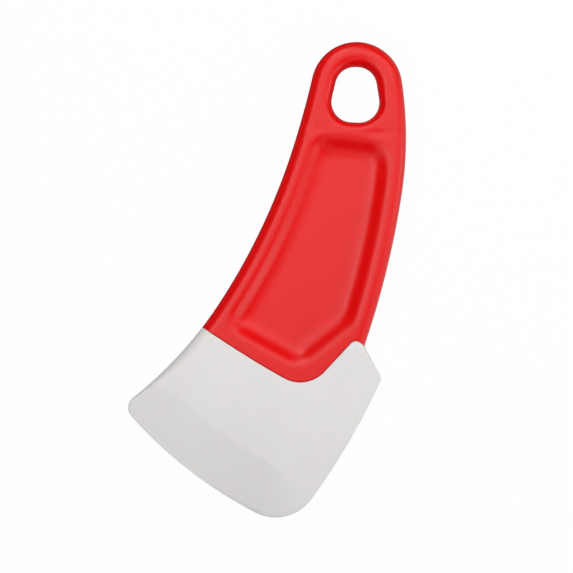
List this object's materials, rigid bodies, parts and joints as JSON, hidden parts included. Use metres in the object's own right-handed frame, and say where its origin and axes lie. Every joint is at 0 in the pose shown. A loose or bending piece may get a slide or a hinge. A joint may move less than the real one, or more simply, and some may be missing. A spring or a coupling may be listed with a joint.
{
  "type": "spatula scraper",
  "caption": "Hand scraper with a broad soft blade moulded over a stiff core, and a rigid recessed handle with a hanging hole, for wiping out pans and bowls.",
  "frame": {"origin": "middle of the tool's box, on the face that it lies on", "axes": "+Y from the blade to the hanging hole, +Z square to the tool's flat faces, +X towards the short side edge"},
  "size_m": [0.077, 0.1576, 0.0092],
  "materials": {
    "handle_plastic": "satin moulded red",
    "core_plastic": "plain stiff plastic, hidden",
    "blade_silicone": "matt pale silicone"
  },
  "bodies": {
    "root": {"handle": "handle_plastic", "core": "core_plastic", "blade": "blade_silicone"}
  },
  "joints": []
}
